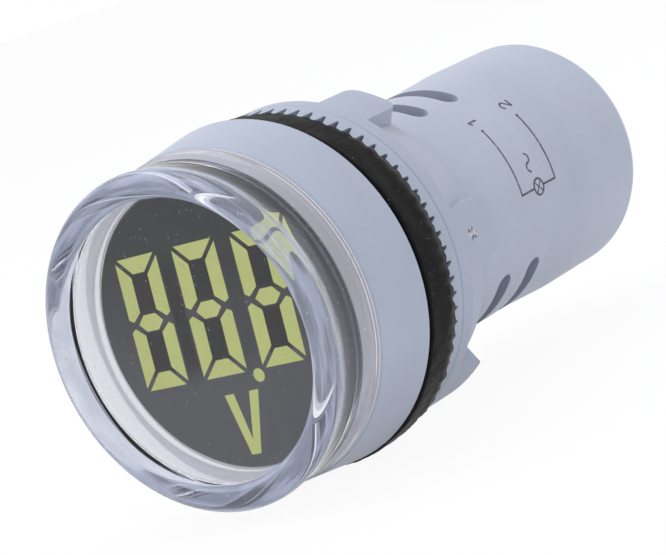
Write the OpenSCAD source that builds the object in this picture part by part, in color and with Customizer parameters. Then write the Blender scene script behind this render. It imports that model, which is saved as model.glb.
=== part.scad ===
// Round LED voltmeter that fixes in a 22 mm panel hole.
// The display looks along -Y, +Z is up and +X is to its right. The origin is on the
// axis, in the plane where the head seats. A depth is counted rearwards (+Y) from that
// plane, so what stands in front of the panel has a negative depth.

/* [Head] */
// Diameter of the head at the panel
head_d = 29; // [28.4:0.1:32]
// How much nearer the axis the head's front edge is than its rear edge
head_taper = 0.7; // [0.4:0.1:1]
// Height of the head in front of the panel
head_h = 5.9; // [5:0.1:9]
// Wall of the head round the lens
head_wall = 0.6; // [0.5:0.05:0.9]
// Floor of the head, which carries the display
head_floor = 2; // [1.6:0.1:2.6]

/* [Lens] */
// Height of the lens in front of the head
lens_h = 6.5; // [5.5:0.1:9]
// Thickness of the lens wall
lens_wall = 1.25; // [1:0.05:1.6]
// Thickness of the window
window_t = 1.2; // [0.8:0.1:1.6]
// Width of the rounded rim round the window
rim_w = 2.2; // [1.9:0.1:2.4]
// How far the rim stands in front of the window
rim_proud = 0.95; // [0.4:0.05:1.1]

/* [Display] */
// Gap between the display and the lens wall
display_gap = 0.15; // [0.1:0.05:0.5]
// How far the display's face stands in front of the head's front edge
display_proud = 1.25; // [0.5:0.05:3]
// Height of a digit
digit_h = 10.8; // [8:0.1:11.2]
// Width of a digit, without its slant
digit_w = 4.45; // [3.6:0.05:4.8]
// Distance from one digit to the next
digit_pitch = 6.1; // [5.4:0.05:6.3]
// How far a digit leans over its height
digit_lean = 1.25; // [0:0.05:1.4]
// Width of a segment
segment_w = 1.35; // [0.9:0.05:1.4]
// Gap between two segments
segment_gap = 0.26; // [0.15:0.01:0.35]
// Depth of the light wells that the segments fill
segment_depth = 1.5; // [0.8:0.1:2.5]
// Height of the digits' foot above the axis
digit_foot = -3.9; // [-4.4:0.1:-3]
// Height of the unit letter
unit_h = 5.1; // [3:0.1:5.3]

/* [Barrel and gasket] */
// Outside diameter of the barrel's thread
barrel_d = 22; // [21.8:0.05:22.2]
// Length of the barrel behind the panel seat
barrel_l = 14.6; // [13:0.1:20]
// Bore of the barrel
barrel_bore = 19; // [18.6:0.1:19.4]
// Pitch of the barrel's thread
thread_pitch = 1.5; // [1:0.25:2]
// Depth of the barrel's thread
thread_depth = 0.4; // [0.2:0.05:0.6]
// Plain collar at the barrel's end
thread_collar = 1.7; // [1:0.1:2.5]
// How far the gasket stands out round the head
gasket_proud = 0.2; // [0:0.1:1]
// Thickness of the gasket
gasket_t = 3; // [1.5:0.1:3.5]

/* [Lock nut] */
// Diameter of the nut over its flange and lugs
nut_d = 28.1; // [27:0.1:30]
// Thickness of the nut
nut_t = 8.5; // [7.5:0.1:9.5]
// Thickness of its flange
nut_flange_t = 4; // [3.6:0.1:4.6]
// Diameter of the hub at its rear face
nut_hub_d = 24.8; // [24:0.1:26]
// Number of teeth round the front edge
teeth = 72; // [48:12:96]
// Length of a tooth along the axis
tooth_l = 1.6; // [1:0.1:1.8]
// Depth of the notches between the teeth
tooth_depth = 1; // [0.5:0.1:1.4]
// Number of finger lugs
lugs = 6; // [3:1:8]
// Width of a finger lug
lug_w = 4.65; // [3:0.05:6]
// Radial play of the nut on the barrel
nut_play = 0.05; // [0.03:0.01:0.1]

/* [Rear housing] */
// Depth of the rear face
body_end = 41.3; // [38:0.1:50]
// Diameter just behind the barrel
body_d = 20.6; // [20.4:0.1:21]
// Diameter at the rear
body_rear_d = 21.2; // [21:0.1:21.6]
// Wall of the housing
body_wall = 1.2; // [0.9:0.1:1.4]
// Turn of the rear housing about the axis, in degrees
body_turn = 10; // [0:1:30]
// Length of the spigot that goes into the barrel
spigot_l = 3; // [2:0.1:4]
// Rounding of the rear edge
rear_round = 1; // [0.4:0.1:1.2]
// Width of a vent slot
slot_w = 2; // [1.4:0.1:2.2]
// Arc of a vent slot, in degrees
slot_arc = 77; // [50:1:96]
// Depth of the front row of vent slots
slot_depth = 19.2; // [18:0.1:20]
// Distance between the two rows of slots
slot_pitch = 4.8; // [3.6:0.1:5.6]

/* [Terminals] */
// Distance from one terminal screw to the other
terminal_pitch = 9.3; // [9.1:0.1:9.5]
// Width of a terminal well
well_w = 7.3; // [7:0.1:7.5]
// Depth of a terminal well
well_l = 8.7; // [8.4:0.1:10]
// Floor behind which the terminals stand
well_floor = 1.6; // [1.2:0.1:2.2]
// Thickness of the terminal plate
plate_t = 1.2; // [0.8:0.1:1.6]
// Thickness of the clamp plate
clamp_t = 0.9; // [0.6:0.1:1.2]
// Diameter of the screw's thread
screw_d = 3; // [2.5:0.5:3]
// Length of the screw under its head
screw_l = 6; // [5.5:0.1:6.5]
// Diameter of the screw's head
screw_head_d = 5.5; // [4.6:0.1:5.8]
// Height of the screw's head
screw_head_h = 2; // [1.4:0.1:2.2]

/* [Electronics] */
// Thickness of the circuit boards
board_t = 1.2; // [0.8:0.1:1.6]
// Width of the main board
board_w = 15; // [13:0.1:15.4]
// How far the main board's upper face lies below the axis
board_drop = 2.6; // [2.6:0.1:3]
// Depth of the main board's front edge
board_start = 3; // [2.6:0.1:4]
// Number of pins on each side of the display
pins = 6; // [4:1:6]

/* [Hidden] */
$fn = 96;

fit = 0.1;                // play between mouldings that are pushed together
eps = 0.01;               // how far a cutter runs past what it cuts
edge = 0.25;              // small rounding on moulded edges

head_r = head_d / 2;
head_front_r = head_r - head_taper;
recess_r = head_front_r - head_wall;
gasket_r = head_r + gasket_proud;

lens_r = head_front_r - fit;
lens_bore = recess_r - fit - lens_wall;
display_r = lens_bore - display_gap;
digit_scale = display_r / 11.7;   // digit sizes are those for a display of this radius
rim_r = rim_w / 2;
window_front = -head_h - lens_h + rim_proud;
rim_centre = -head_h - lens_h + rim_r;

face = -head_h - display_proud;

barrel_r = barrel_d / 2;
nut_front = gasket_t;
nut_rear = nut_front + nut_t;
nut_r = nut_d / 2;
nut_bore = barrel_r + nut_play;
flange_rear = nut_front + nut_flange_t;

body_bore = body_d / 2 - body_wall;
spigot_r = barrel_bore / 2 - fit / 2;
spigot_bore = spigot_r - 0.8;
well_bottom = body_end - well_l;
floor_front = well_bottom - well_floor;
bridge_y = 26;            // depth at which the housing starts to widen to its rear

board_top = -board_drop;
board_end = floor_front - 0.5;
display_board_r = barrel_bore / 2 - 0.3;
display_board_rear = -head_floor + board_t;

clamp_rest = well_bottom + plate_t;
head_rest = clamp_rest + clamp_t;

// Turns what is drawn in X and Y, looking out along Z, to face the front
module facing() rotate([90, 0, 0]) children();

// A turned solid, from points given as radius and depth
module turned(outline)
    facing() rotate_extrude() polygon([for (p = outline) [p[0], -p[1]]]);

// A flat outline, given as seen from the front, from one depth to a deeper one
module slab(from, to)
    translate([0, to, 0]) facing() linear_extrude(to - from) children();

// A round bar along the axis
module bar(r, from, to) slab(from, to) circle(r);

// A block given by its corners: across, depth and height
module block(low, high) translate(low) cube(high - low);

// What belongs to the rear housing turns with it
module with_body() rotate([0, -body_turn, 0]) children();

// A rectangle with rounded corners, centred
module rounded(w, h, r) {
    square([w - 2 * r, h], center = true);
    square([w, h - 2 * r], center = true);
    for (x = [-1, 1], y = [-1, 1])
        translate([x * (w / 2 - r), y * (h / 2 - r)]) circle(r, $fn = 32);
}

// Points of a quarter round, from one angle to another
function arc(centre, r, from, to, steps = 8) =
    [for (i = [0:steps]) let (a = from + (to - from) * i / steps)
        [centre[0] + r * cos(a), centre[1] + r * sin(a)]];

// ---- Front mouldings ----

// One V groove of the barrel's thread
function groove(y) = [
    [barrel_r, y - thread_depth],
    [barrel_r - thread_depth, y],
    [barrel_r, y + thread_depth]];

thread_end = barrel_l - thread_collar - thread_depth;
thread_turns = floor((thread_end - gasket_t - thread_depth) / thread_pitch);

module front_housing() color([0.72, 0.75, 0.82])
    turned(concat(
        [[barrel_bore / 2, -head_floor], [recess_r, -head_floor], [recess_r, -head_h],
         [head_front_r - edge, -head_h], [head_front_r, -head_h + edge],
         [head_r, -edge], [head_r - edge, 0], [barrel_r, 0]],
        [for (i = [thread_turns:-1:0], p = groove(thread_end - i * thread_pitch)) p],
        [[barrel_r, barrel_l - edge], [barrel_r - edge, barrel_l],
         [barrel_bore / 2, barrel_l]]));

module lens_cover() color([0.85, 0.9, 0.95, 0.4])
    turned(concat(
        [[0, window_front], [lens_r - rim_w, window_front]],
        arc([lens_r - rim_r, rim_centre], rim_r, 180, 360, 16),
        [[lens_r, -head_h], [recess_r - fit, -head_h],
         [recess_r - fit, -head_floor - edge], [recess_r - fit - edge, -head_floor],
         [lens_bore, -head_floor], [lens_bore, window_front + window_t + edge],
         [lens_bore - edge, window_front + window_t], [0, window_front + window_t]]));

module gasket() color([0.12, 0.12, 0.13])
    turned([[barrel_r + fit / 2, 0], [gasket_r - edge, 0], [gasket_r, edge],
            [gasket_r, gasket_t - edge], [gasket_r - edge, gasket_t],
            [barrel_r + fit / 2, gasket_t]]);

// ---- Lock nut ----

parting_gap = 0.9;                      // from the root of the teeth to the line
parting = nut_front + tooth_l + parting_gap;    // fine witness line behind the teeth
line_w = 0.1;                           // half its width, and its depth
lug_step = 0.05;                        // how far the lugs lie below the flange's rim
tooth_phase = 0.2;                      // place of the first notch, in tooth pitches

module nut_blank()
    turned([[nut_bore, nut_front], [nut_r - edge, nut_front], [nut_r, nut_front + edge],
            [nut_r, parting - line_w], [nut_r - line_w, parting],
            [nut_r, parting + line_w], [nut_r, flange_rear],
            [nut_r - 2 * edge, flange_rear],
            [nut_hub_d / 2, nut_rear - edge], [nut_hub_d / 2 - edge, nut_rear],
            [nut_bore, nut_rear]]);

// Sawtooth notch in the front edge, cut in from the rim
module notch() {
    pitch_w = PI * nut_d / teeth;
    translate([nut_r - tooth_depth, 0, 0]) rotate([0, 90, 0])
        linear_extrude(tooth_depth + 1)
            polygon([[-0.3 * pitch_w, -1], [-0.3 * pitch_w, 0],
                     [-0.28 * pitch_w, tooth_l], [-0.12 * pitch_w, tooth_l],
                     [0.4 * pitch_w, 0], [0.4 * pitch_w, -1]]);
}

// Finger lug: a block with its rear corners rounded, trimmed to the nut's diameter
module lug() {
    r = 0.9;
    rotate([0, 90, 0]) translate([0, 0, nut_bore + 0.4])
        linear_extrude(nut_r - nut_bore) {
            translate([-lug_w / 2, flange_rear - 1])
                square([lug_w, nut_t - nut_flange_t + 1 - r]);
            translate([r - lug_w / 2, flange_rear - 1])
                square([lug_w - 2 * r, nut_t - nut_flange_t + 1]);
            for (x = [-1, 1]) translate([x * (lug_w / 2 - r), nut_rear - r])
                circle(r, $fn = 32);
        }
}

module lock_nut() color([0.7, 0.73, 0.8])
    difference() {
        union() {
            nut_blank();
            intersection() {
                bar(nut_r - lug_step, nut_front, nut_rear);
                for (i = [0:lugs - 1]) rotate([0, i * 360 / lugs, 0]) lug();
            }
        }
        for (i = [0:teeth - 1]) rotate([0, (i + tooth_phase) * 360 / teeth, 0])
            translate([0, nut_front, 0]) notch();
    }

// ---- Rear housing ----

// Obround vent slot through the top of the wall, along the circumference
module slot(y) {
    inner = body_bore - 1;
    outer = body_rear_d / 2 + 1;
    facing() rotate(90 - slot_arc / 2) rotate_extrude(angle = slot_arc)
        translate([inner, -y - slot_w / 2]) square([outer - inner, slot_w]);
    for (s = [-1, 1]) rotate([0, -90 + s * slot_arc / 2, 0])
        translate([inner, y, 0]) rotate([0, 90, 0])
            cylinder(r = slot_w / 2, h = outer - inner, $fn = 32);
}

rail_h = 0.9;             // height of a rib above or below the board
rail_grip = 0.8;          // how far the ribs reach over the board

// Ribs that hold the edges of the main board
module board_rails()
    intersection() {
        bar(body_bore + body_wall / 2, barrel_l + 1, floor_front + eps);
        for (s = [-1, 1]) scale([s, 1, 1]) {
            block([board_w / 2 - rail_grip, barrel_l + 1, board_top + fit / 2],
                  [body_d / 2, floor_front + eps, board_top + rail_h]);
            block([board_w / 2 - rail_grip, barrel_l + 1, board_top - board_t - rail_h],
                  [body_d / 2, floor_front + eps, board_top - board_t - fit / 2]);
        }
    }

module well()
    translate([terminal_pitch / 2, 0, 0]) {
        slab(well_bottom, body_end + 1) rounded(well_w, well_w, 0.8);
        bar(collar_r + fit / 2, floor_front - 1, well_bottom + eps);
    }

module rear_housing() color([0.72, 0.75, 0.82]) with_body()
    difference() {
        union() {
            turned([[0, floor_front], [body_bore, floor_front],
                    [body_bore, barrel_l + body_wall], [spigot_bore, barrel_l],
                    [spigot_bore, barrel_l - spigot_l],
                    [spigot_r, barrel_l - spigot_l], [spigot_r, barrel_l],
                    [body_d / 2 - edge, barrel_l], [body_d / 2, barrel_l + edge],
                    [body_d / 2, bridge_y], [body_rear_d / 2, bridge_y + 6],
                    [body_rear_d / 2, body_end - rear_round],
                    [body_rear_d / 2 - 0.3 * rear_round, body_end - 0.3 * rear_round],
                    [body_rear_d / 2 - rear_round, body_end], [0, body_end]]);
            board_rails();
        }
        for (s = [0, 180]) rotate([0, s, 0]) {
            well();
            for (i = [0, 1]) slot(slot_depth + i * slot_pitch);
        }
    }

// ---- Display ----

middle = digit_h / 2;
digits_left = -1.5 * digit_pitch - 0.1;

// Leans an upright outline to the right
function lean(points) = [for (p = points) [p[0] + digit_lean * p[1] / digit_h, p[1]]];

// Outlines of the seven segments, with the digit's foot at the left as origin
function segments() = let (w = digit_w, h = digit_h, t = segment_w, g = segment_gap,
                           m = middle) [
    [[g, h], [w - g, h], [w - t - g, h - t], [t + g, h - t]],
    [[g, 0], [t + g, t], [w - t - g, t], [w - g, 0]],
    [[0, h - g], [t, h - t - g], [t, m + t / 2 + g], [t / 3, m + g], [0, m + 2 * g]],
    [[0, g], [0, m - 2 * g], [t / 3, m - g], [t, m - t / 2 - g], [t, t + g]],
    [[w, h - g], [w, m + 2 * g], [w - t / 3, m + g], [w - t, m + t / 2 + g],
     [w - t, h - t - g]],
    [[w, g], [w - t, t + g], [w - t, m - t / 2 - g], [w - t / 3, m - g],
     [w, m - 2 * g]],
    [[t / 2 + g, m], [t + g, m + t / 2], [w - t - g, m + t / 2], [w - t / 2 - g, m],
     [w - t - g, m - t / 2], [t + g, m - t / 2]]];

module digit_outline(place)
    scale(digit_scale) translate([digits_left + place * digit_pitch, digit_foot])
        for (s = segments()) polygon(lean(s));

dot_r = 0.55;

module dot_outline()
    scale(digit_scale) translate([digits_left + 1.5 * digit_pitch + digit_w / 2 + dot_r / 2 - 0.1,
               digit_foot - 0.45])
        circle(dot_r, $fn = 32);

// The unit letter, a V with the digits' lean
module unit_outline() {
    w = 3.5;
    s = 0.95;
    scale(digit_scale) translate([-w / 2, digit_foot - 1.5 - unit_h])
        polygon([for (p = [[w / 2 - s / 2, 0], [0, unit_h], [s, unit_h],
                           [w / 2, 1.3 * s], [w - s, unit_h], [w, unit_h],
                           [w / 2 + s / 2, 0]])
            [p[0] + digit_lean * (p[1] - unit_h) / digit_h, p[1]]]);
}

module display_case() color([0.3, 0.31, 0.33])
    difference() {
        turned([[0, face], [display_r - edge, face], [display_r, face + edge],
                [display_r, -head_floor], [0, -head_floor]]);
        slab(face - eps, face + segment_depth) {
            for (i = [0:2]) digit_outline(i);
            dot_outline();
            unit_outline();
        }
    }

module lit() color([0.78, 0.8, 0.5]) slab(face, face + segment_depth) children();

module digit_left() lit() digit_outline(0);
module digit_middle() lit() digit_outline(1);
module digit_right() lit() digit_outline(2);
module decimal_point() lit() dot_outline();
module unit_mark() lit() unit_outline();

pin_pitch = 2;
pin_row = 6;
pin_r = 0.25;

// Children at the place of each display pin
module at_pins()
    for (s = [-1, 1], i = [0:pins - 1])
        translate([s * pin_row, 0, (i - (pins - 1) / 2) * pin_pitch]) children();

module display_pins() color([0.8, 0.8, 0.78])
    at_pins() bar(pin_r, -head_floor, display_board_rear + 1);

module display_board() color([0.15, 0.4, 0.25])
    difference() {
        bar(display_board_r, -head_floor, display_board_rear);
        at_pins() bar(pin_r + fit / 2, -head_floor - 1, display_board_rear + 1);
    }

// ---- Electronics ----

chip_w = 3.9;
chip_l = 9.9;
chip_z = 3.6;
chip_t = 1.5;
chip_pitch = 1.27;

module control_chip() color([0.1, 0.1, 0.11])
    block([-chip_l / 2, display_board_rear + 0.1, chip_z - chip_w / 2],
          [chip_l / 2, display_board_rear + chip_t, chip_z + chip_w / 2]);

// Gull-wing leads along both sides of the chip
module chip_leads() color([0.8, 0.8, 0.78])
    for (s = [-1, 1], i = [-3.5:1:3.5])
        translate([i * chip_pitch, display_board_rear, chip_z]) scale([1, 1, s]) {
            block([-0.2, 0.55, chip_w / 2], [0.2, 0.8, chip_w / 2 + 0.5]);
            block([-0.2, 0, chip_w / 2 + 0.3], [0.2, 0.8, chip_w / 2 + 0.5]);
            block([-0.2, 0, chip_w / 2 + 0.3], [0.2, 0.2, chip_w / 2 + 1.1]);
        }

header_pins_n = 5;
header_pitch = 2;
header_w = 0.6;
header_l = 2.4;
header_reach = 2.5;       // length of the pins over the main board

module board_header() color([0.12, 0.12, 0.13]) with_body()
    difference() {
        block([-header_pins_n * header_pitch / 2, display_board_rear,
               board_top + header_w / 2 - header_l / 2],
              [header_pins_n * header_pitch / 2, display_board_rear + header_l / 2,
               board_top + header_w / 2 + header_l / 2]);
        header_bars(0);
    }

module header_bars(play)
    for (i = [0:header_pins_n - 1])
        block([(i - (header_pins_n - 1) / 2) * header_pitch - header_w / 2 - play,
               display_board_rear, board_top - play],
              [(i - (header_pins_n - 1) / 2) * header_pitch + header_w / 2 + play,
               board_start + header_reach, board_top + header_w + play]);

module header_pins() color([0.8, 0.7, 0.4]) with_body() header_bars(0);

module main_board() color([0.15, 0.4, 0.25]) with_body()
    block([-board_w / 2, board_start, board_top - board_t],
          [board_w / 2, board_end, board_top]);

bridge_x = 0.8;
bridge_start = board_start + 5;
bridge_w = 6.2;
bridge_l = 5;
bridge_h = 2.7;
bridge_lead = [0.6, 1, 0.9];

module bridge_rectifier() color([0.1, 0.1, 0.11]) with_body()
    translate([bridge_x, bridge_start, board_top]) {
        block([0, 0, 0.2], [bridge_w, bridge_l, bridge_h]);
        for (x = [0.2, 0.7], y = [-bridge_lead[1], bridge_l])
            translate([x * bridge_w, y, 0]) cube(bridge_lead);
    }

can_r = 3.15;
can_x = -3.9;
can_start = board_start + 6;
can_l = 8.6;
lead_r = 0.25;            // half the side of a bent wire lead
lead_l = 1.2;             // how far a lead stands out before its bend
can_z = board_top + can_r;

module electrolytic_capacitor() color([0.15, 0.17, 0.22]) with_body()
    translate([can_x, 0, can_z])
        turned([[0, can_start], [can_r - 0.3, can_start], [can_r, can_start + 0.3],
                [can_r, can_start + 1.4], [can_r - 0.3, can_start + 1.7],
                [can_r, can_start + 2], [can_r, can_start + can_l - 0.3],
                [can_r - 0.3, can_start + can_l], [0, can_start + can_l]]);

// A wire lead from a piece's end at depth y, bent down to the board: s is its direction
module bent_lead(y, z, s)
    translate([0, y, 0]) scale([1, s, 1]) {
        block([-lead_r, 0, z - lead_r], [lead_r, lead_l, z + lead_r]);
        block([-lead_r, lead_l - 2 * lead_r, board_top], [lead_r, lead_l, z + lead_r]);
    }

module capacitor_leads() color([0.8, 0.8, 0.78]) with_body()
    for (s = [-1, 1]) translate([can_x + s * 0.4 * can_r, 0, 0])
        bent_lead(can_start, can_z, -1);

film_w = 5.4;
film_h = 6.8;
film_l = 7.2;
film_gap = 0.8;
film_start = can_start + can_l + film_gap;

module film_capacitor() color([0.75, 0.7, 0.25]) with_body()
    translate([can_x, 0, board_top + film_h / 2])
        slab(film_start, film_start + film_l) rounded(film_w, film_h, 0.4);

resistor_start = board_start + 12.6;
resistor_l = 6.4;
resistor_r = 1.2;         // radius of the end caps
resistor_neck = 1;
resistor_cap = 1.8;       // length of an end cap
resistor_x = 1.9;
resistor_pitch = 3.1;
resistor_z = board_top + resistor_r + 0.3;

module at_resistors() for (i = [0, 1])
    translate([resistor_x + i * resistor_pitch, 0, 0]) children();

module dropper_resistors() color([0.75, 0.68, 0.5]) with_body()
    at_resistors() translate([0, resistor_start, resistor_z])
        turned([[0, 0], [resistor_neck, 0], [resistor_r, 0.3],
                [resistor_r, resistor_cap - 0.4], [resistor_neck, resistor_cap],
                [resistor_neck, resistor_l - resistor_cap],
                [resistor_r, resistor_l - resistor_cap + 0.4],
                [resistor_r, resistor_l - 0.3], [resistor_neck, resistor_l],
                [0, resistor_l]]);

module resistor_leads() color([0.8, 0.8, 0.78]) with_body()
    at_resistors() {
        bent_lead(resistor_start, resistor_z, -1);
        bent_lead(resistor_start + resistor_l, resistor_z, 1);
    }

// ---- Terminals ----

screw_r = screw_d / 2;
collar_r = 2.5;
collar_l = well_floor + 1.1;
tail_w = 2;
tail_t = 0.6;
tail_l = 5;
plate_w = well_w - 0.5;   // side of the terminal plate
clamp_w = well_w - 0.9;   // side of the clamp plate
cross_l = 3.2;            // length of the screwdriver cross
cross_w = 0.7;            // width of its arms

// Puts a terminal's piece at its place: side 0 or 1
module at_terminal(side)
    with_body() rotate([0, side * 180, 0]) translate([terminal_pitch / 2, 0, 0])
        rotate([0, -side * 180, 0]) children();

module terminal(side) color([0.8, 0.65, 0.35]) at_terminal(side)
    difference() {
        union() {
            slab(well_bottom, clamp_rest) rounded(plate_w, plate_w, 0.6);
            bar(collar_r, well_bottom - collar_l, well_bottom + eps);
            block([-tail_w / 2, floor_front - tail_l, board_top],
                  [tail_w / 2, floor_front, board_top + tail_t]);
        }
        bar(screw_r + 0.05, well_bottom - collar_l - 1, clamp_rest + 1);
    }

module terminal_1() terminal(0);
module terminal_2() terminal(1);

module clamp(side) color([0.82, 0.83, 0.84]) at_terminal(side)
    slab(clamp_rest, clamp_rest + clamp_t) difference() {
        rounded(clamp_w, clamp_w, 0.5);
        circle(screw_r + 0.15);
    }

module clamp_1() clamp(0);
module clamp_2() clamp(1);

module screw(side) color([0.85, 0.86, 0.87]) at_terminal(side)
    difference() {
        turned([[0, head_rest - screw_l], [screw_r - 0.4, head_rest - screw_l],
                [screw_r, head_rest - screw_l + 0.4], [screw_r, head_rest],
                [screw_head_d / 2, head_rest],
                [screw_head_d / 2, head_rest + 0.6 * screw_head_h],
                [0.75 * screw_head_d / 2, head_rest + screw_head_h],
                [0, head_rest + screw_head_h]]);
        for (a = [0, 90]) rotate([0, a, 0])
            block([-cross_l / 2, head_rest + 0.5 * screw_head_h, -cross_w / 2],
                  [cross_l / 2, head_rest + screw_head_h + 1, cross_w / 2]);
    }

module screw_1() screw(0);
module screw_2() screw(1);

front_housing();
lens_cover();
gasket();
lock_nut();
rear_housing();
display_case();
digit_left();
digit_middle();
digit_right();
decimal_point();
unit_mark();
display_pins();
display_board();
control_chip();
chip_leads();
board_header();
header_pins();
main_board();
bridge_rectifier();
electrolytic_capacitor();
capacitor_leads();
film_capacitor();
dropper_resistors();
resistor_leads();
terminal_1();
terminal_2();
clamp_1();
clamp_2();
screw_1();
screw_2();
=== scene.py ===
# %% [markdown]
# # A round LED voltmeter for a 22 mm panel hole
# The solids come from CAD: head, lens cover, gasket, toothed lock nut, rear housing and what is
# inside. Blender gives each one its finish, and rebuilds the few pieces whose real surface is
# softer or finer than a solid model can hold. Everything is in metres, in the CAD's own frame:
# the axis runs along Y, the display looks along -Y and Z is up.

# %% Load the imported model
import math

import bmesh
import bpy
from mathutils import Matrix, Vector, noise


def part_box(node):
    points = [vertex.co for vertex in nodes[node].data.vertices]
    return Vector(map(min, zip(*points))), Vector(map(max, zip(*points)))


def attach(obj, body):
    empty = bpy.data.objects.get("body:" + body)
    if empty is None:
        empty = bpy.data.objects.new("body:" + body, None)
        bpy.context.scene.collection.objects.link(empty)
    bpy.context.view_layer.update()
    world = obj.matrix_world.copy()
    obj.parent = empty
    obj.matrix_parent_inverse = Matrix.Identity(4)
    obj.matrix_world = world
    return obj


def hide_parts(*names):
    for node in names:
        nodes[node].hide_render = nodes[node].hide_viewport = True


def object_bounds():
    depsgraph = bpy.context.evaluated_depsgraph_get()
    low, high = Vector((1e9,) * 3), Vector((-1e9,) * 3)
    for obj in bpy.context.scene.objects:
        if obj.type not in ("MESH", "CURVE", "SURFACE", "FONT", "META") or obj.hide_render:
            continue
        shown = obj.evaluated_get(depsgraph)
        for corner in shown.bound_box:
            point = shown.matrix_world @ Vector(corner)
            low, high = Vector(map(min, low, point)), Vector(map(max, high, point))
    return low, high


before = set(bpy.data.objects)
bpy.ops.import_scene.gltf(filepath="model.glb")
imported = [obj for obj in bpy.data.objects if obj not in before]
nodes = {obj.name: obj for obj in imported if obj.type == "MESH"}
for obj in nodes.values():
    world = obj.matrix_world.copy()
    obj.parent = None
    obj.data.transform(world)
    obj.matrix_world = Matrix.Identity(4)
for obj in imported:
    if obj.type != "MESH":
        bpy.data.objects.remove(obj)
cad_box = [list(corner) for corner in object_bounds()]
MM = 0.001
print("CAD nodes:", len(nodes), "box:", cad_box)

# %% [markdown]
# ## The camera
# A long lens close to the meter, held a little to its right and above, and rolled clockwise so
# that the meter's axis climbs across the view. A camera is easiest to place by the point it
# looks at, so its axes are worked out from that point and the roll, and written into its matrix.

# %% Camera
CAMERA_AT = Vector((0.130723, -0.155807, 0.027780))
CAMERA_AIM = Vector((0.000199, 0.007449, -0.000907))
CAMERA_ROLL = math.radians(19.16)
FOCAL_LENGTH = 140.54
SENSOR_WIDTH = 36
NEAREST_SEEN = 0.01


def aimed(name, place, target, roll):
    """A camera at a place, looking at a target, turned about its line of sight."""
    look = (target - place).normalized()
    side = look.cross(Vector((0, 0, 1))).normalized()
    up = side.cross(look) * math.cos(roll) + side * math.sin(roll)
    right = look.cross(up)
    turn = Matrix((right, up, -look)).transposed().to_4x4()
    camera = bpy.data.objects.new(name, bpy.data.cameras.new(name))
    camera.matrix_world = Matrix.Translation(place) @ turn
    bpy.context.scene.collection.objects.link(camera)
    return camera


camera = aimed("camera", CAMERA_AT, CAMERA_AIM, CAMERA_ROLL)
camera.data.lens = FOCAL_LENGTH
camera.data.sensor_width = SENSOR_WIDTH
camera.data.clip_start = NEAREST_SEEN
bpy.context.scene.camera = camera
print("camera distance", round((CAMERA_AIM - CAMERA_AT).length, 4))

# %% [markdown]
# ## Shader expressions
# A finish is a sum of small effects, such as grain, dust and wear, so it reads best as
# arithmetic. `Wire` stands for a socket, and its operators add Math nodes. `Graph` adds every
# other node in one way: it sets the node up, then fills or links its sockets. `Finish` is the
# graph of one material, with the few nodes that most finishes need as methods.

# %% Wires


class Wire:
    """A number, colour or vector that flows between nodes."""

    def __init__(self, graph, socket):
        self.graph = graph
        self.socket = socket

    def math(self, operation, *values):
        """Adds a Math node."""
        inputs = dict(enumerate(values))
        return self.graph.node("ShaderNodeMath", {"operation": operation}, inputs)

    def __add__(self, other):
        return self.math("ADD", self, other)

    def __sub__(self, other):
        return self.math("SUBTRACT", self, other)

    def __rsub__(self, other):
        return self.math("SUBTRACT", other, self)

    def __mul__(self, other):
        return self.math("MULTIPLY", self, other)

    def __truediv__(self, other):
        return self.math("DIVIDE", self, other)

    def __lt__(self, other):
        return self.math("LESS_THAN", self, other)

    def __abs__(self):
        return self.math("ABSOLUTE", self)

    __radd__ = __add__
    __rmul__ = __mul__

    def at_most(self, other):
        return self.math("MINIMUM", self, other)

    def at_least(self, other):
        return self.math("MAXIMUM", self, other)

    def rise(self, start, stop):
        """0 below a start, 1 above a stop, and a soft step between them."""
        settings = {"interpolation_type": "SMOOTHSTEP"}
        inputs = {0: self, 1: start, 2: stop, 3: 0.0, 4: 1.0}
        return self.graph.node("ShaderNodeMapRange", settings, inputs)


print("wires ready")

# %% Graphs


class Graph:
    """The nodes of a material or of the world."""

    def __init__(self, tree):
        self.tree = tree

    def fill(self, socket, value):
        """Links a wire into a socket, or types a plain value into it."""
        if isinstance(value, Wire):
            self.tree.links.new(value.socket, socket)
        else:
            socket.default_value = value

    def node(self, kind, settings, inputs, output=0):
        """Adds a node: first its settings, then its sockets. Gives one of its outputs."""
        node = self.tree.nodes.new(kind)
        for setting, value in settings.items():
            if setting == "stops":
                while len(node.color_ramp.elements) < len(value):
                    node.color_ramp.elements.new(1)
                for element, (place, shade) in zip(node.color_ramp.elements, value):
                    element.position = place
                    element.color = (shade, shade, shade, 1)
            else:
                setattr(node, setting, value)
        for socket, value in inputs.items():
            self.fill(node.inputs[socket], value)
        return Wire(self, node.outputs[output])

    def looked_at(self):
        """1 for rays from the camera, gloss and glass, 0 for rays that carry light to things."""
        kinds = ("Is Camera Ray", "Is Glossy Ray", "Is Transmission Ray")
        camera, gloss, glass = [self.node("ShaderNodeLightPath", {}, {}, kind) for kind in kinds]
        return camera.at_least(gloss).at_least(glass)

    def end_in(self, output, share, under, over):
        """Ends the graph in one shader over another, by a share from 0 to 1."""
        mixed = self.node("ShaderNodeMixShader", {}, {0: share, 1: under, 2: over})
        self.fill(self.tree.nodes[output].inputs["Surface"], mixed)


print("graphs ready")

# %% Finishes


def linear(red, green, blue):
    """A colour as a paint card gives it, 0 to 255, as the linear values that shaders use."""
    def channel(value):
        value = value / 255
        return value / 12.92 if value <= 0.04045 else ((value + 0.055) / 1.055) ** 2.4
    return (channel(red), channel(green), channel(blue), 1.0)


def shaded(colour, share):
    """The colour with only a share of its light."""
    return tuple(channel * share for channel in colour[:3]) + (1.0,)


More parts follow.
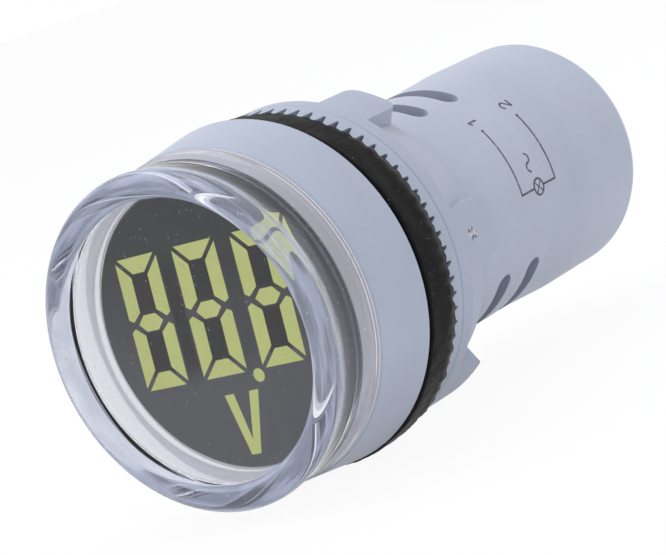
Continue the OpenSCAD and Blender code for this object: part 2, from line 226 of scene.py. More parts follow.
class Finish(Graph):
    """A material whose Principled shader takes constants now and wires later."""

    def __init__(self, name, colour, **constants):
        self.material = bpy.data.materials.new(name)
        self.material.use_nodes = True
        self.material.diffuse_color = colour
        super().__init__(self.material.node_tree)
        self.shader = self.tree.nodes["Principled BSDF"]
        self.set("Base Color", colour)
        for socket, value in constants.items():
            self.set(socket.replace("_", " "), value)

    def set(self, socket, value):
        """Fills a socket of the Principled shader."""
        self.fill(self.shader.inputs[socket], value)

    def so_far(self, socket):
        """What is linked to a socket already."""
        return Wire(self, self.shader.inputs[socket].links[0].from_socket)

    def place(self):
        """The point on the piece, in metres, in the meter's own frame."""
        return self.node("ShaderNodeTexCoord", {}, {}, "Object")

    def along(self, axis):
        """How far the point lies along X, Y or Z: axis 0, 1 or 2."""
        return self.node("ShaderNodeSeparateXYZ", {}, {0: self.place()}, axis)

    def vector(self, operation, values, output=0):
        """Adds a Vector Math node."""
        return self.node("ShaderNodeVectorMath", {"operation": operation}, values, output)

    def spoke(self):
        """The vector from the meter's axis straight out to the point."""
        return self.vector("MULTIPLY", {0: self.place(), 1: (1, 0, 1)})

    def off_axis(self):
        """The point's distance from the meter's axis."""
        return self.vector("LENGTH", {0: self.spoke()}, "Value")

    def noise(self, scale, detail=2.0, place=None):
        """Cloudy values round a half: the larger the scale, the finer the grain."""
        inputs = {"Vector": place or self.place(), "Scale": scale, "Detail": detail}
        return self.node("ShaderNodeTexNoise", {}, inputs, "Fac")

    def ramp(self, value, *stops):
        """Remaps a value through stops of (place, shade)."""
        return self.node("ShaderNodeValToRGB", {"stops": stops}, {0: value})

    def blend(self, share, first, second):
        """A colour between two, by a share from 0 to 1."""
        inputs = {0: share, 6: first, 7: second}
        return self.node("ShaderNodeMix", {"data_type": "RGBA"}, inputs, 2)

    def bump(self, height, depth, strength=1.0):
        """Relief from a height of 0 to 1, that deep in metres."""
        inputs = {"Height": height, "Distance": depth, "Strength": strength}
        self.set("Normal", self.node("ShaderNodeBump", {}, inputs))

    def cover(self, share, over):
        """Lays another shader over this one."""
        self.end_in("Material Output", share, Wire(self, self.shader.outputs[0]), over)

    def dress(self, *pieces):
        """Puts this material on pieces, in place of what they had."""
        for piece in pieces:
            piece.data.materials.clear()
            piece.data.materials.append(self.material)


print("finishes ready")

# %% [markdown]
# ## Turned pieces
# Most of this meter is round about its axis. A turned piece needs only half its section: the
# outline is swept round in many small steps, smooth along the curves and sharp where two faces
# meet at more than a set angle. The solids could be shown instead, but a clear lens shows every
# facet of its wall, so it is turned afresh here with far more steps.

# %% Turning
TURN_STEPS = 256
SAME_POINT = 1e-7


def shaped(name, points, faces, sharp=30):
    """A mesh object with smooth faces and sharp edges above an angle."""
    mesh = bpy.data.meshes.new(name)
    mesh.from_pydata(points, [], faces)
    solid = bmesh.new()
    solid.from_mesh(mesh)
    bmesh.ops.remove_doubles(solid, verts=solid.verts, dist=SAME_POINT)
    bmesh.ops.recalc_face_normals(solid, faces=solid.faces)
    solid.to_mesh(mesh)
    solid.free()
    mesh.shade_smooth()
    mesh.set_sharp_from_angle(angle=math.radians(sharp))
    piece = bpy.data.objects.new(name, mesh)
    bpy.context.scene.collection.objects.link(piece)
    return piece


def arc_angles(start, stop, steps):
    """Angles along an arc, in radians, with both of its ends."""
    return [math.radians(start + (stop - start) * i / steps) for i in range(steps + 1)]


def round_corner(centre, radius, start, stop, steps):
    """Points of an arc in the half section: radius from the axis, then depth."""
    return [(centre[0] + radius * math.cos(a), centre[1] + radius * math.sin(a))
            for a in arc_angles(start, stop, steps)]


def turned(name, outline, wobble=None, closed=False, steps=TURN_STEPS, sharp=30):
    """Sweeps a half section round the Y axis. An open outline starts and ends on the axis."""
    count = len(outline)
    points = []
    for step in range(steps):
        turn = 2 * math.pi * step / steps
        for radius, depth in outline:
            if wobble:
                radius, depth = wobble(radius, depth, turn)
            points.append((radius * math.cos(turn), depth, radius * math.sin(turn)))
    faces = []
    for step in range(steps):
        here, there = step * count, (step + 1) % steps * count
        for i in range(count if closed else count - 1):
            j = (i + 1) % count
            faces.append((here + i, there + i, there + j, here + j))
    return shaped(name, points, faces, sharp)


print("turned pieces use", TURN_STEPS, "steps")

# %% [markdown]
# ## The clear lens cover
# One clear moulding: a wall that stands in the head, a window, and a fat rounded rim that
# stands a little in front of the window. Light bends twice in that rim, which is what makes it
# look like glass. The section is the CAD's, with the small roundings that a mould leaves in the
# corners, since a ray that meets a dead sharp corner looks wrong, and with a slight waist
# between the rim and the collar that seats on the head.

# %% Lens sizes
lens_low, lens_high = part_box("lens_cover")
LENS_R = lens_high.x
HEAD_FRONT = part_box("front_housing")[0].y
CASE_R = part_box("display_case")[1].x
RIM_R = 1.1 * MM
RIM_PROUD = 0.95 * MM
WINDOW_T = 1.2 * MM
BORE_R = CASE_R + 0.15 * MM
FOOT_R = LENS_R - 0.6 * MM
CORNER = 0.35 * MM
WAIST = 0.25 * MM
EDGE = 0.03 * MM
MIDWAY = 5 * MM
RIM_ARC = (188, 392)
RIM_STEPS = 44
CORNER_STEPS = 8

window_front = lens_low.y + RIM_PROUD
window_back = window_front + WINDOW_T
rim_centre = (LENS_R - RIM_R, lens_low.y + RIM_R)
inner_corner = (BORE_R - CORNER, window_back + CORNER)
waist_r = LENS_R - WAIST
waist_front = rim_centre[1] + 0.95 * MM
waist_back = HEAD_FRONT - 1.05 * MM
ring_front = HEAD_FRONT - 0.85 * MM
ring_full = HEAD_FRONT - 0.72 * MM
print("lens radius", round(LENS_R / MM, 2), "mm, window", round(WINDOW_T / MM, 2), "mm thick")

# %% Lens cover
lens_outline = [
    (0.0, window_front),
    (MIDWAY, window_front),
    (LENS_R - 2 * RIM_R - CORNER, window_front),
    *round_corner(rim_centre, RIM_R, *RIM_ARC, RIM_STEPS),
    (waist_r, waist_front),
    (waist_r, waist_back),
    (LENS_R - 0.1 * MM, ring_front),
    (LENS_R, ring_full),
    (LENS_R, HEAD_FRONT - EDGE),
    (LENS_R - EDGE, HEAD_FRONT),
    (FOOT_R, HEAD_FRONT),
    (FOOT_R, lens_high.y),
    (BORE_R, lens_high.y),
    *round_corner(inner_corner, CORNER, 0, -90, CORNER_STEPS),
    (MIDWAY, window_back),
    (0.0, window_back),
]
lens = turned("lens", lens_outline, sharp=40)
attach(lens, "root")
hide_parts("lens_cover")
print("lens", len(lens.data.polygons), "faces")

# %% [markdown]
# ## Moulded plastic
# Head, nut and rear housing are moulded in one pale blue-grey plastic. Seen close, such a
# surface has a fine spark-eroded texture, a faint cloudiness where the melt flowed, and a few
# specks of dust. Grain and cloud are noise at two sizes, the specks are the cores of a few
# Voronoi cells.

# %% Plastic
HOUSING_GREY = linear(178, 185, 202)
NUT_GREY = linear(172, 179, 196)
SPECK_GREY = linear(120, 122, 128)
SPECK_CORE = 0.22


def speckle(finish, size, share):
    """Round specks of a size in metres, in a share of the cells that are four sizes wide."""
    settings = {"feature": "F1"}
    inputs = {"Vector": finish.place(), "Scale": 0.25 / size}
    cell = finish.node("ShaderNodeTexVoronoi", settings, inputs, "Distance")
    tone = finish.node("ShaderNodeTexVoronoi", settings, inputs, "Color")
    chosen = finish.node("ShaderNodeSeparateColor", {}, {0: tone}, 0) < share
    return (cell < SPECK_CORE) * chosen


def moulded(name, colour, grain=0.004 * MM, gloss=0.42):
    """Moulded plastic with its texture, cloud and dust."""
    finish = Finish(name, colour, IOR=1.5)
    cloud = finish.noise(160, 3)
    grit = finish.noise(5200, 2)
    flow = finish.ramp(cloud, (0.3, 0.0), (0.7, 1.0))
    base = finish.blend(flow, shaded(colour, 0.93), colour)
    dust = speckle(finish, 0.045 * MM, 0.05)
    finish.set("Base Color", finish.blend(dust * 0.5, base, SPECK_GREY))
    finish.set("Roughness", gloss + (grit - 0.5) * 0.12 + dust * 0.2)
    finish.bump(grit, grain, 0.6)
    return finish


housing = moulded("housing plastic", HOUSING_GREY)
housing.dress(nodes["front_housing"], nodes["rear_housing"])
nut_plastic = moulded("nut plastic", NUT_GREY, grain=0.006 * MM, gloss=0.48)
nut_plastic.dress(nodes["lock_nut"])
print("plastic on front_housing, rear_housing and lock_nut")

# %% [markdown]
# ## A scuff on the nut
# One lug has been caught by a tool: dark scratches in a small patch of chalky, bruised plastic.
# A mark like this has a place of its own, so it is masked by the distance from one point, and
# noise breaks it up inside.

# %% Scuff
SCUFF = Vector((14.05 * MM, 8.55 * MM, -0.12 * MM))
CHALK_PINK = linear(226, 214, 222)
SCRATCH_GREY = linear(56, 54, 62)

offset = nut_plastic.vector("DISTANCE", {0: nut_plastic.place(), 1: SCUFF}, "Value")
bruised = 1 - offset.rise(0.4 * MM, 0.8 * MM)
scratch = nut_plastic.noise(3600, 2).rise(0.52, 0.58) * bruised
chalk = nut_plastic.noise(3100, 1).rise(0.5, 0.58) * bruised
paler = nut_plastic.blend(chalk * 0.5, nut_plastic.so_far("Base Color"), CHALK_PINK)
nut_plastic.set("Base Color", nut_plastic.blend(scratch * 0.85, paler, SCRATCH_GREY))
print("scuff at", [round(value / MM, 2) for value in SCUFF], "mm")

# %% [markdown]
# ## Clear lens finish
# Clear acrylic: full transmission, a smooth surface and an index of refraction a little under
# the real one, so that the rim bends what lies behind it without turning black. The moulding is
# never perfectly even, so long shallow waves bend what is seen through it.

# %% Clear plastic
clear = Finish("clear lens", linear(250, 251, 255), IOR=1.37, Transmission_Weight=1.0)
clear.set("Roughness", clear.noise(900, 2) * 0.012)
clear.bump(clear.noise(240, 1), 0.02 * MM, 0.2)
print("clear plastic ready")

# %% [markdown]
# ## Haze and painted light in the lens
# A thick rim gathers light from all round and bends it, which a path tracer gives up on after
# some bounces and paints black. So pale colour is mixed in there as painted light, broken into
# soft painted streaks like those that light leaves in a bent bar of plastic, with more of it at
# the rim's foot, and the outer wall gets a faint painted reflection. The collar is welded to the
# head, and a row of tiny bubbles shows along the weld. Dust lies on the window. The inside of
# the wall is satin white: daylight comes in through the wall as well as through the window, and
# a painted glow, a little light of its own, stands for it. Each of these has a mask of its own,
# and the masks add up to one cloudiness that mixes the hazy shader into the clear one.

# %% Masks of the lens
SOFT = 0.25 * MM
COLLAR = 2.2 * MM
RIM_INNER = LENS_R - 2.35 * MM
RIM_FOOT = LENS_R - 1.95 * MM
RIM_BACK = lens_low.y + 1.9 * MM
WELD = HEAD_FRONT - COLLAR
WELD_HALF = 0.07 * MM


def streaked(finish, along, across):
    """Streaks that run round the axis: slow along the rim, quick across it."""
    unit = finish.vector("NORMALIZE", {0: finish.spoke()})
    slow = finish.vector("SCALE", {0: unit, "Scale": along})
    quick = (finish.off_axis() + finish.along(1) * 0.8) * (across / MM)
    step = finish.node("ShaderNodeCombineXYZ", {}, {1: quick})
    return finish.noise(1.0, 2.0, finish.vector("ADD", {0: slow, 1: step}))


deep = clear.along(1)
radius = clear.off_axis()
outside = 1 - clear.node("ShaderNodeNewGeometry", {}, {}, "Backfacing")
in_rim = radius.rise(RIM_INNER, RIM_INNER + SOFT)
rim_front = 1 - deep.rise(RIM_BACK, RIM_BACK + 2 * SOFT)
foot = in_rim * rim_front * (1 - radius.rise(RIM_FOOT, RIM_FOOT + 0.2 * MM))
collar = deep.rise(WELD, WELD + 0.3 * MM)
outer = radius.rise(FOOT_R, FOOT_R + 0.1 * MM)
# Painted light: streaks that stand for the light bent in the rim.
painted_light_streaks = streaked(clear, 2.2, 1.3).rise(0.4, 0.62)
weld = (1 - abs(deep - WELD) / WELD_HALF).rise(0.0, 0.5)
bubbles = weld * outer * speckle(clear, 0.05 * MM, 0.45)
dust = speckle(clear, 0.06 * MM, 0.02)
lining = deep.rise(window_back, window_back + 0.1 * MM) * (1 - outer) * outside
print("weld of the collar at", round(WELD / MM, 2), "mm")

# %% Haze and painted light
# Pale blue for the haze and for the rim's painted light.
HAZE_AND_PAINTED_LIGHT_BLUE = linear(210, 217, 240)
HAZE_PALE = linear(222, 219, 228)
HAZE_WHITE = linear(246, 244, 250)
PIPED_LIGHT = (0.38, 0.375, 0.4, 1)
NO_LIGHT = (0, 0, 0, 1)
LEAST_PAINTED_LIGHT = 0.22
MOST_PAINTED_LIGHT = 0.52
COLLAR_HAZE = 0.5
LINING_HAZE = 0.62
FOOT_PAINTED_LIGHT = 0.3
# Painted reflection: a faint pale veil on the outer wall.
WALL_PAINTED_REFLECTION = 0.04
BUBBLE_HAZE = 0.8
DUST_HAZE = 0.5

satin = collar * outer * outside * COLLAR_HAZE
# Painted light: pale colour in the rim, broken into streaks.
haze_and_painted_light = in_rim * (rim_front * (LEAST_PAINTED_LIGHT + painted_light_streaks * (MOST_PAINTED_LIGHT - LEAST_PAINTED_LIGHT)) + satin)
# More painted light at the rim's foot.
haze_and_painted_light = haze_and_painted_light + foot * FOOT_PAINTED_LIGHT + outer * outside * WALL_PAINTED_REFLECTION
haze_and_painted_light = haze_and_painted_light + lining * LINING_HAZE + bubbles * BUBBLE_HAZE + dust * DUST_HAZE
tint = clear.blend(lining, clear.blend(collar, HAZE_AND_PAINTED_LIGHT_BLUE, HAZE_PALE), HAZE_WHITE)
# Painted glow: the white lining gives a little light of its own.
piped = clear.blend(lining, NO_LIGHT, PIPED_LIGHT)
hazy = {"Base Color": tint, "Roughness": 0.35, "Emission Color": piped, "Emission Strength": 1.0}
clear.cover(haze_and_painted_light, clear.node("ShaderNodeBsdfPrincipled", {}, hazy))
clear.dress(lens)
# The rim's largest share of painted light.
print("haze in the rim, up to", MOST_PAINTED_LIGHT)

# %% [markdown]
# ## The rubber gasket
# A die-cut rubber ring. The cut leaves its rim slightly ragged, and rubber picks up lint, so
# the ring is turned with a wobble on its outer edges and gets pale flecks. It is also loose on
# the barrel: it has slipped down a little, which bares the nut's teeth at the top, and where the
# teeth bit into its rear edge they have squeezed out a thin dusty lip, which lies over their
# tips and has one shallow scallop for each tooth.

# %% Gasket sizes
gasket_low, gasket_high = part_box("gasket")
GASKET_R = gasket_high.x
GASKET_BORE = 11.05 * MM
GASKET_MIDDLE = 12.6 * MM
SOFT_EDGE = 0.2 * MM
RAGGED = 0.07 * MM
SLIPPED = 0.5 * MM
SCALLOP = 0.14 * MM
TEETH = 72
LIP = 0.65 * MM
LIP_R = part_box("lock_nut")[1].x + 0.07 * MM
WORN_BAND = 0.6 * MM
COARSE_ROUND, COARSE_DEEP = 9, 900
FINE_ROUND, FINE_DEEP = 31, 400
RIM_DEPTHS = (0.6, 1.0, 1.4, 1.8, 2.2, 2.5)


def ragged(radius, depth, turn):
    """Wears the rim: ragged all round, lower at the top, scalloped along its rear edge."""
    if radius < GASKET_R - WORN_BAND:
        return radius, depth
    around = Vector((math.cos(turn), math.sin(turn), 0))
    coarse = around * COARSE_ROUND + Vector((0, 0, depth * COARSE_DEEP))
    fine = around * FINE_ROUND + Vector((0, 0, depth * FINE_DEEP))
    push = noise.noise(coarse) + 0.5 * noise.noise(fine)
    slip = SLIPPED * max(0.0, math.sin(turn)) ** 3
    rear = max(0.0, (depth - gasket_low.y) / (gasket_high.y - gasket_low.y) - 0.8) * 5
    bite = SCALLOP * rear * (0.5 + 0.5 * math.cos(TEETH * turn))
    moved = depth - bite + 0.35 * RAGGED * noise.noise(fine * 0.7)
    if radius >= LIP_R and rear > 0.9:
        spread = min(1.0, max(0.0, (0.85 - math.sin(turn)) / 0.35))
        moved += LIP * spread * (0.8 + 0.6 * noise.noise(fine * 0.4))
    return radius - RAGGED * (0.5 + push) - slip - 0.5 * bite, moved


print("gasket radius", round(GASKET_R / MM, 2), "mm, slipped by", SLIPPED / MM, "mm")

# %% Gasket ring
edge_r = GASKET_R - SOFT_EDGE
gasket_outline = [
    (GASKET_BORE, gasket_low.y),
    (GASKET_MIDDLE, gasket_low.y),
    *round_corner((edge_r, gasket_low.y + SOFT_EDGE), SOFT_EDGE, -90, 0, 5),
    *[(GASKET_R, gasket_low.y + deep * MM) for deep in RIM_DEPTHS],
    *round_corner((edge_r, gasket_high.y - SOFT_EDGE), SOFT_EDGE, 0, 90, 5),
    (LIP_R + 0.1 * MM, gasket_high.y),
    (LIP_R, gasket_high.y),
    (LIP_R - 0.02 * MM, gasket_high.y),
    (GASKET_MIDDLE, gasket_high.y),
    (GASKET_BORE, gasket_high.y),
]
gasket = turned("gasket_ring", gasket_outline, ragged, closed=True, steps=10 * TEETH, sharp=45)
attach(gasket, "root")
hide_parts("gasket")
print("gasket", len(gasket.data.polygons), "faces")

# %% Rubber
RUBBER_BLACK = linear(9, 9, 11)
RUBBER_DUSTY = linear(76, 72, 72)
LINT_GREY = linear(150, 150, 155)
rubber = Finish("gasket rubber", RUBBER_BLACK, IOR=1.22)
skin = rubber.noise(2600, 4)
lint = speckle(rubber, 0.05 * MM, 0.04)
lip = rubber.along(1).rise(gasket_high.y - 0.05 * MM, gasket_high.y + 0.05 * MM)
dusty = lip * (0.4 + rubber.noise(700, 2).rise(0.35, 0.6) * 0.6)
worn = rubber.blend(dusty * 0.8, RUBBER_BLACK, RUBBER_DUSTY)
rubber.set("Base Color", rubber.blend(lint * 0.7, worn, LINT_GREY))
rubber.set("Roughness", 0.55 + (skin - 0.5) * 0.3)
rubber.bump(skin, 0.02 * MM, 0.8)
rubber.dress(gasket)
print("rubber ready")

# %% [markdown]
# ## The display
# Three seven-segment digits, a point and a unit letter, each a light well filled with milky
# resin in a grey front. Shade is painted into the front's colour: it grows darker towards the
# top, and near black in soft patches inside the digits and between them. The shade is worked
# out in the digits' own slanted frame, from their boxes. Unlit segments are pale yellow-green.

# %% Where shade is painted on the front
FACE_GREY = linear(84, 85, 89)
LEAN = 1.25 / 10.8
LOOP_HEIGHTS = (0.27, 0.73)
LOOP_HALF = (0.32, 0.2)
GAP_HALF = (0.9 * MM, 6.2 * MM)
GAP_SHADES = (1.0, 0.4)

front = Finish("display front", FACE_GREY, IOR=1.2)
digits = [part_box(name) for name in ("digit_left", "digit_middle", "digit_right")]
digit_foot = digits[0][0].z
digit_top = digits[0][1].z
tall = digit_top - digit_foot
height = front.along(2)
upright = front.along(0) - (height - digit_foot) * LEAN


def patch(centre, half, soft):
    """A soft-edged rectangle in the digits' frame: 1 inside and 0 outside."""
    sideways = 1 - abs(upright - centre[0]) / half[0]
    upwards = 1 - abs(height - centre[1]) / half[1]
    return sideways.at_most(upwards).rise(0.0, soft)


# Painted shade: near black patches inside the digits and between them.
painted_shades = []
for low, high in digits:
    wide = high.x - low.x - tall * LEAN
    for share in LOOP_HEIGHTS:
        centre = (low.x + wide / 2, low.z + tall * share)
        painted_shades.append(patch(centre, (wide * LOOP_HALF[0], tall * LOOP_HALF[1]), 0.35))
for left, right, dark in zip(digits, digits[1:], GAP_SHADES):
    wide = left[1].x - left[0].x - tall * LEAN
    centre = ((left[0].x + wide + right[0].x) / 2, (digit_foot + digit_top) / 2)
    painted_shades.append(patch(centre, GAP_HALF, 0.5) * dark)
shade = sum(painted_shades[1:], painted_shades[0]).at_most(1.0)
print("dark patches on the front:", len(painted_shades))

# %% Display front
FACE_PAINTED_SHADE_TOP = linear(40, 41, 45)
FACE_PAINTED_SHADE = linear(4, 4, 5)
FACE_DUST = linear(160, 162, 168)

mottle = front.noise(900, 3)
dust = speckle(front, 0.07 * MM, 0.03)
# Painted shade: the front's colour darkens towards the top.
paint = front.blend(height.rise(-6 * MM, 9 * MM), FACE_GREY, FACE_PAINTED_SHADE_TOP)
# Painted shade darkens the front in those patches.
tone = front.blend(shade, paint, FACE_PAINTED_SHADE)
front.set("Base Color", front.blend(dust * 0.5, tone, FACE_DUST))
front.set("Roughness", 0.5 + (mottle - 0.5) * 0.2)
front.bump(mottle, 0.008 * MM, 0.15)
front.dress(nodes["display_case"])
print("display front ready")

# %% Segments
SEGMENT_GREEN = linear(222, 228, 142)
SEGMENT_DEEP = linear(212, 219, 124)
SEGMENT_SPECK = linear(96, 98, 70)

milky = Finish("segment resin", SEGMENT_GREEN, IOR=1.2)
veil = milky.noise(420, 2)
speck = speckle(milky, 0.05 * MM, 0.06)
pale = milky.blend(veil, SEGMENT_DEEP, SEGMENT_GREEN)
milky.set("Base Color", milky.blend(speck * 0.6, pale, SEGMENT_SPECK))
milky.set("Roughness", 0.42 + veil * 0.1)
milky.bump(milky.noise(1800, 2), 0.006 * MM, 0.4)
segment_names = ("digit_left", "digit_middle", "digit_right", "decimal_point", "unit_mark")
milky.dress(*[nodes[name] for name in segment_names])
print("milky pieces:", len(segment_names))

# %% [markdown]
# ## Ink on the rear housing
# The real barrel is pad-printed in dark grey: its wiring symbol is a lamp, a circle with a
# cross, between two leads, with a number at each lead's end. Ink is a film, so each stroke is a
# thin ribbon laid on the barrel. Its path is drawn unrolled, in degrees round and millimetres
# deep, and each point is dropped onto the plastic along a ray towards the axis.

# %% Strokes of ink
INK_T = 0.012 * MM
INK_STEP = 0.2
BARREL_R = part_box("rear_housing")[1].x
MM_ROUND = math.degrees(MM / BARREL_R)


def on_barrel(degrees, depth, lift):
    """The point over the barrel's plastic at a turn and a depth, with the film's lift."""
    out = Vector((math.cos(math.radians(degrees)), 0, math.sin(math.radians(degrees))))
    start = out * 2 * BARREL_R + Vector((0, depth * MM, 0))
    hit, spot, normal, face = nodes["rear_housing"].ray_cast(start, -out)
    return (spot if hit else start - out * BARREL_R) + out * lift


def finely(path):
    """The path with points added so that none lie far apart."""
    points = []
    for (turn_a, deep_a), (turn_b, deep_b) in zip(path, path[1:]):
        length = math.hypot((turn_b - turn_a) / MM_ROUND, deep_b - deep_a)
        count = max(1, math.ceil(length / INK_STEP))
        for i in range(count):
            part = i / count
            points.append((turn_a + (turn_b - turn_a) * part, deep_a + (deep_b - deep_a) * part))
    return points + [path[-1]]


def stroke(name, path, width=0.18):
    """A ribbon of ink along a path of (degrees, depth in mm)."""
    path = finely(path)
    rings = []
    for i, (turn, deep) in enumerate(path):
        before, after = path[max(i - 1, 0)], path[min(i + 1, len(path) - 1)]
        along = Vector(((after[0] - before[0]) / MM_ROUND, after[1] - before[1])).normalized()
        side = Vector((-along.y, along.x)) * width / 2
        left = (turn + side.x * MM_ROUND, deep + side.y)
        right = (turn - side.x * MM_ROUND, deep - side.y)
        rings.append([on_barrel(*left, INK_T), on_barrel(*right, INK_T),
                      on_barrel(*right, -INK_T), on_barrel(*left, -INK_T)])
    faces = [(0, 1, 2, 3), tuple(len(rings) * 4 - 4 + i for i in (3, 2, 1, 0))]
    for ring in range(len(rings) - 1):
        for i in range(4):
            j = (i + 1) % 4
            faces.append((ring * 4 + i, ring * 4 + j, ring * 4 + 4 + j, ring * 4 + 4 + i))
    line = shaped(name, [point for ring in rings for point in ring], faces)
    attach(line, "root")
    return line


def bow(centre, radius, start, stop, steps):
    """Points of an arc on the unrolled barrel, radius in mm."""
    return [(centre[0] + radius * math.cos(a) * MM_ROUND, centre[1] + radius * math.sin(a))
            for a in arc_angles(start, stop, steps)]


print("one millimetre round the barrel is", round(MM_ROUND, 2), "degrees")

# %% Lamp and leads
LAMP = (-2.0, 25.0)
LAMP_R = 0.72
LEAD_1 = 22.2
LEAD_2 = 27.6
LEAD_1_END = 34
LEAD_2_END = 33
LAP = 0.07
DOT = 0.32

ink = [stroke("lead_1", [(LEAD_1_END, LEAD_1), (LAMP[0], LEAD_1)]),
       stroke("lead_1_drop", [(LAMP[0], LEAD_1 - LAP), (LAMP[0], LAMP[1] - LAMP_R)]),
       stroke("lead_2", [(LEAD_2_END, LEAD_2), (LAMP[0], LEAD_2)]),
       stroke("lead_2_drop", [(LAMP[0], LEAD_2 + LAP), (LAMP[0], LAMP[1] + LAMP_R)]),
       stroke("lead_1_dot", [(LEAD_1_END + 0.4, LEAD_1), (LEAD_1_END - 0.8, LEAD_1)], DOT),
       stroke("lead_2_dot", [(LEAD_2_END + 0.4, LEAD_2), (LEAD_2_END - 0.8, LEAD_2)], DOT),
       stroke("lamp_ring", bow(LAMP, LAMP_R, 0, 360, 40), 0.2)]
for number, lean in enumerate((45, 135)):
    cross = bow(LAMP, LAMP_R, lean, lean + 180, 1)
    ink.append(stroke("lamp_cross_%d" % number, cross, 0.14))
print("strokes of lamp and leads:", len(ink))

# %% Wave and numbers
WAVE = (10.5, 24.75)
WAVE_R = 0.42
MARK = 40.5
MARK_HALF = 0.6
MARK_WIDTH = 0.19

hump = bow((WAVE[0] - WAVE_R * MM_ROUND, WAVE[1]), WAVE_R, 180, 360, 12)
dip = bow((WAVE[0] + WAVE_R * MM_ROUND, WAVE[1]), WAVE_R, 180, 0, 12)
ink.append(stroke("mains_wave", hump + dip[1:], MARK_WIDTH))
flag = (MARK - 0.36 * MM_ROUND, LEAD_1 - 0.3)
one = [flag, (MARK, LEAD_1 - MARK_HALF), (MARK, LEAD_1 + MARK_HALF)]
ink.append(stroke("mark_1", one, MARK_WIDTH))
heel = (MARK - 0.4 * MM_ROUND, LEAD_2 + MARK_HALF)
toe = (MARK + 0.42 * MM_ROUND, LEAD_2 + MARK_HALF)
two = bow((MARK, LEAD_2 - 0.26), 0.36, 190, 385, 12) + [heel]
ink.append(stroke("mark_2", two, MARK_WIDTH))
ink.append(stroke("mark_2_foot", [heel, toe], MARK_WIDTH))
print("ink strokes:", len(ink))

# %% Ink
INK_GREY = linear(58, 60, 72)
printing = Finish("printing ink", INK_GREY, IOR=1.5)
film = printing.noise(3000, 3)
thin = film.rise(0.45, 0.75) * 0.35
printing.set("Base Color", printing.blend(thin, INK_GREY, HOUSING_GREY))
printing.set("Roughness", 0.4 + film * 0.1)
printing.bump(film, 0.002 * MM, 0.4)
printing.dress(*ink)
print("ink finish ready")

# %% [markdown]
# ## Boards and electronics
# Little of this shows through the vent slots, but the solids are there, so each gets the finish
# of the real piece: green solder mask with tracks, matt black epoxy, a printed can sleeve, a
# yellow film capacitor, banded resistors, and tin and gold on the leads.

# %% Boards
MASK_GREEN = linear(28, 92, 62)
TRACK_GREEN = linear(52, 124, 84)
board = Finish("circuit board", MASK_GREEN, IOR=1.5)
tracks = board.node("ShaderNodeTexBrick", {}, {"Vector": board.place(), "Scale": 420.0}, "Fac")
weave = board.noise(2400, 2)
board.set("Base Color", board.blend(tracks * 0.6, MASK_GREEN, TRACK_GREEN))
board.set("Roughness", 0.3 + weave * 0.15)
board.bump(tracks, 0.03 * MM, 0.5)
board.dress(nodes["display_board"], nodes["main_board"])
print("boards done")

# %% Chips, cans and leads


def grained(name, colour, scale, gloss, depth, **constants):
    """A plain material with its own grain in colour, gloss and relief."""
    finish = Finish(name, colour, **constants)
    grain = finish.noise(scale, 3)
    finish.set("Base Color", finish.blend(grain, shaded(colour, 0.86), colour))
    finish.set("Roughness", gloss + (grain - 0.5) * 0.15)
    finish.bump(grain, depth, 0.6)
    return finish


epoxy = grained("black epoxy", linear(34, 34, 36), 3600, 0.6, 0.01 * MM)
epoxy.dress(nodes["control_chip"], nodes["bridge_rectifier"], nodes["board_header"])
sleeve = grained("capacitor sleeve", linear(38, 46, 74), 700, 0.32, 0.006 * MM)
sleeve.dress(nodes["electrolytic_capacitor"])
dipped = grained("film capacitor", linear(196, 170, 58), 900, 0.34, 0.01 * MM)
dipped.dress(nodes["film_capacitor"])
tin = grained("tinned lead", linear(205, 206, 208), 1500, 0.3, 0.006 * MM, Metallic=1.0)
tinned = ("display_pins", "chip_leads", "capacitor_leads", "resistor_leads")
tin.dress(*[nodes[name] for name in tinned])
gold = grained("gold pin", linear(214, 180, 104), 1500, 0.28, 0.004 * MM, Metallic=1.0)
gold.dress(nodes["header_pins"])
print("chips, cans and leads done")

# %% Resistors
COAT_TAN = linear(202, 178, 132)
BANDS = ((0.14, linear(120, 60, 30)), (0.38, linear(30, 30, 32)), (0.52, linear(200, 110, 30)))
BAND_HALF = 0.35 * MM

coat = Finish("resistor coat", COAT_TAN, IOR=1.5)
depth = coat.along(1)
coat_low, coat_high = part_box("dropper_resistors")
paint = COAT_TAN
for share, colour in BANDS:
    line = coat_low.y + (coat_high.y - coat_low.y) * share
    paint = coat.blend(abs(depth - line) < BAND_HALF, paint, colour)
coat.set("Base Color", paint)
coat.set("Roughness", 0.35 + coat.noise(1500, 2) * 0.1)
coat.bump(coat.noise(1200, 2), 0.01 * MM, 0.4)
coat.dress(nodes["dropper_resistors"])
print("resistor bands:", len(BANDS))

# %% [markdown]
# ## Terminals
# Stamped brass plates with a drawn collar, nickel-plated clamp plates, and plated screws. Their
# metal is bright but not a mirror: a fine grain from the tooling breaks up what it reflects.

# %% Terminals and screws
brass = grained("terminal brass", linear(206, 170, 96), 1900, 0.3, 0.008 * MM, Metallic=1.0)
brass.dress(nodes["terminal_1"], nodes["terminal_2"])
plate = grained("plated steel", linear(200, 202, 205), 2400, 0.27, 0.006 * MM, Metallic=1.0)
plate.dress(*[nodes[name] for name in ("clamp_1", "clamp_2", "screw_1", "screw_2")])
print("terminals done")

# %% [markdown]
# ## The floor
# A wide sheet of white paper. It shows itself as white to the camera, glass and gloss, yet keeps
# part of the meter's shadow, because a small share of it stays a plain lit surface.

# %% Floor
FLOOR_HALF = 3.0
FLOOR_GAP = 0.05 * MM
FLOOR_GLOW = 0.93
WHITE = (1, 1, 1, 1)

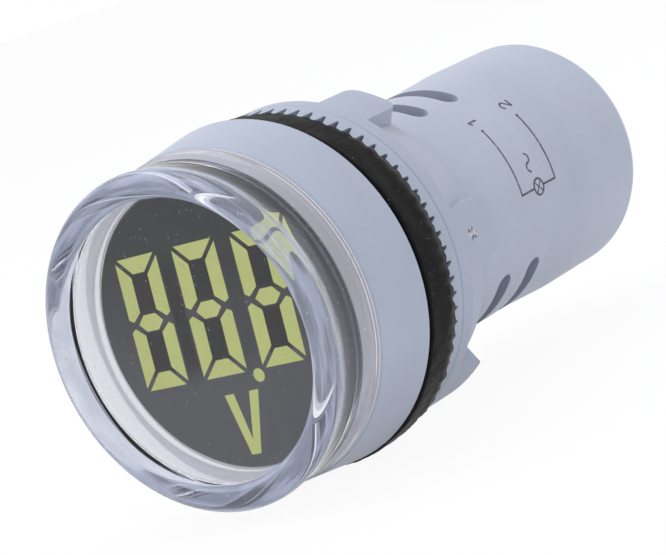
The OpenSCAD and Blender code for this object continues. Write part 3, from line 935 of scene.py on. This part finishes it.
floor_z = min(cad_box[0][2], gasket_low.z) - FLOOR_GAP
turns = ((-1, -1), (1, -1), (1, 1), (-1, 1))
corners = [(x * FLOOR_HALF, y * FLOOR_HALF, floor_z) for x, y in turns]
floor = shaped("floor", corners, [(0, 1, 2, 3)])
paper = Finish("white paper", linear(248, 248, 248), Roughness=0.9)
glow = paper.node("ShaderNodeEmission", {}, {"Color": WHITE, "Strength": 1.0})
paper.cover(paper.looked_at() * FLOOR_GLOW, glow)
paper.dress(floor)
print("floor at", round(floor_z / MM, 2), "mm")

# %% [markdown]
# ## Daylight and lamps
# The world lights everything evenly at a plain level and is itself white wherever it is looked
# at. One big soft lamp overhead gives the shapes their slight shade, and a second one behind
# them picks out the rear edge of the barrel.

# %% World
SKY_TINT = (0.94, 0.96, 1.0, 1)
SKY_LEVEL = 0.72

world = bpy.data.worlds.new("studio")
world.use_nodes = True
bpy.context.scene.world = world
sky = Graph(world.node_tree)
daylight = world.node_tree.nodes["Background"]
sky.fill(daylight.inputs["Color"], SKY_TINT)
sky.fill(daylight.inputs["Strength"], SKY_LEVEL)
white = sky.node("ShaderNodeBackground", {}, {"Color": WHITE, "Strength": 1.0})
sky.end_in("World Output", sky.looked_at(), Wire(sky, daylight.outputs[0]), white)
print("world at", SKY_LEVEL)

# %% Lamps
MIDDLE = Vector((0, 0.012, 0))


def soft_lamp(name, place, size, watts, tint):
    """A square area lamp that looks at the meter's middle."""
    data = bpy.data.lights.new(name, "AREA")
    data.size = size
    data.energy = watts
    data.color = tint
    lamp = bpy.data.objects.new(name, data)
    turn = (place - MIDDLE).to_track_quat("Z", "Y").to_matrix().to_4x4()
    lamp.matrix_world = Matrix.Translation(place) @ turn
    bpy.context.scene.collection.objects.link(lamp)
    return lamp


soft_lamp("overhead", Vector((-0.10, -0.05, 0.42)), 0.35, 1.0, (0.95, 0.97, 1.0))
soft_lamp("from behind", Vector((0.15, 0.40, 0.12)), 0.3, 0.15, (1.0, 0.98, 0.96))
bpy.context.scene.view_settings.view_transform = "Standard"
print("stage set")
